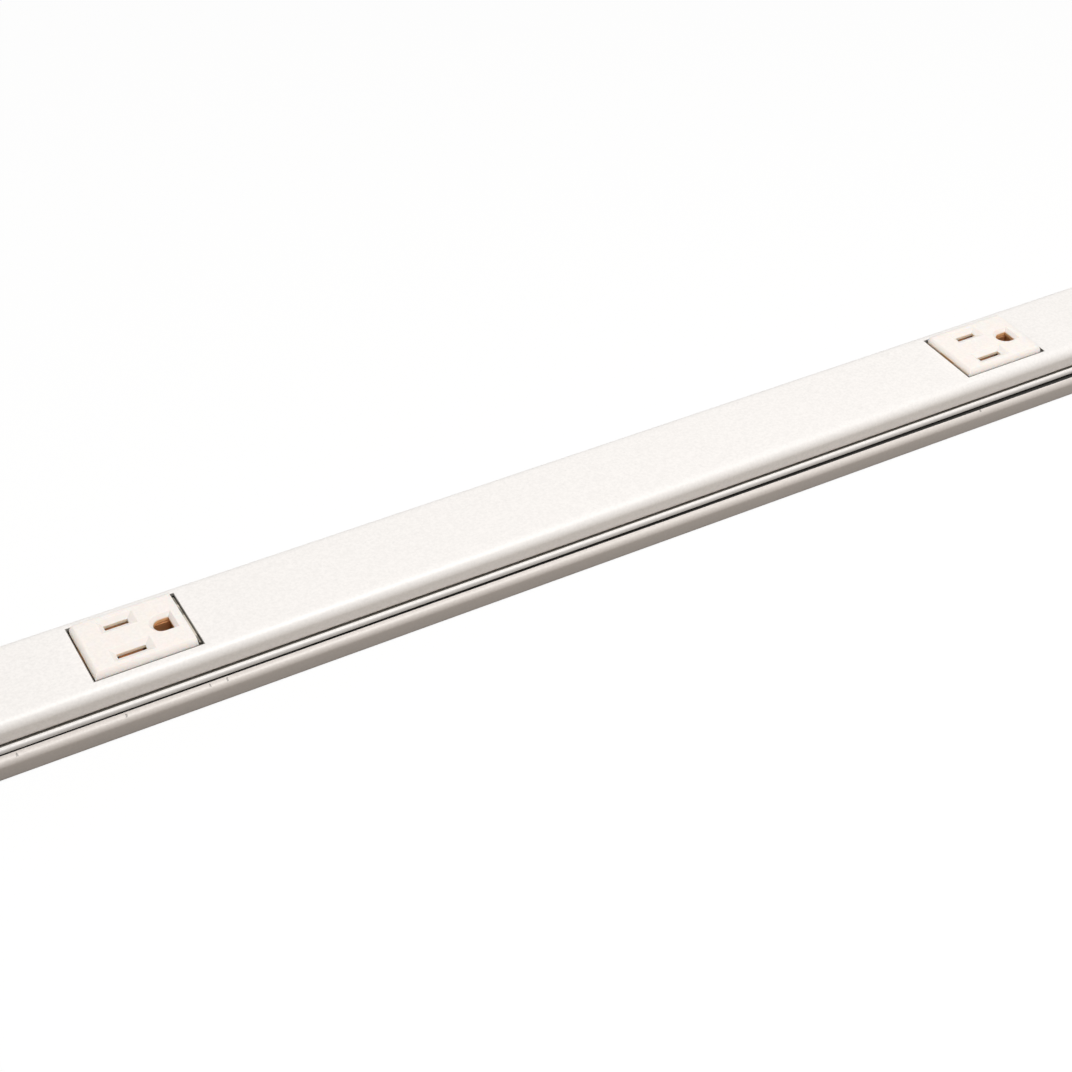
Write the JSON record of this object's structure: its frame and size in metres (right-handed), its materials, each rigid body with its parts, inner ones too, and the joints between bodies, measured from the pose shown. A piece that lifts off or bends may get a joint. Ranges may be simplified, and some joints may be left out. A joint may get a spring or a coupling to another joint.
{
  "type": "outlet raceway",
  "caption": "White steel surface raceway strip with a press-fit cover and grounded power outlets spaced along it.",
  "frame": {"origin": "middle of the base's underside, the face that lies on the wall", "axes": "+X along the strip towards the ground-hole end of each outlet, +Y across the strip towards the line slots, +Z out of the wall through the outlet faces"},
  "size_m": [0.6096, 0.0388, 0.0191],
  "materials": {
    "painted_steel": "smooth white enamel, semi-gloss",
    "white_plastic": "moulded white thermoplastic, satin",
    "brown_plastic": "moulded brown phenolic",
    "contact_brass": "stamped strip",
    "spring_steel": "plain spring strip",
    "black_insulation": "nylon-jacketed insulation",
    "white_insulation": "nylon-jacketed insulation",
    "green_insulation": "nylon-jacketed insulation"
  },
  "bodies": {
    "root": {"base": "painted_steel", "cover": "painted_steel", "left_end_cap": "painted_steel", "right_end_cap": "painted_steel", "line_wire": "black_insulation", "neutral_wire": "white_insulation", "ground_wire": "green_insulation", "left_wire_clip": "spring_steel", "middle_wire_clip": "spring_steel", "right_wire_clip": "spring_steel", "left_receptacle_face": "white_plastic", "left_receptacle_body": "brown_plastic", "left_receptacle_spring": "spring_steel", "left_line_contact": "contact_brass", "left_neutral_contact": "contact_brass", "left_ground_contact": "contact_brass", "right_receptacle_face": "white_plastic", "right_receptacle_body": "brown_plastic", "right_receptacle_spring": "spring_steel", "right_line_contact": "contact_brass", "right_neutral_contact": "contact_brass", "right_ground_contact": "contact_brass"}
  },
  "joints": []
}
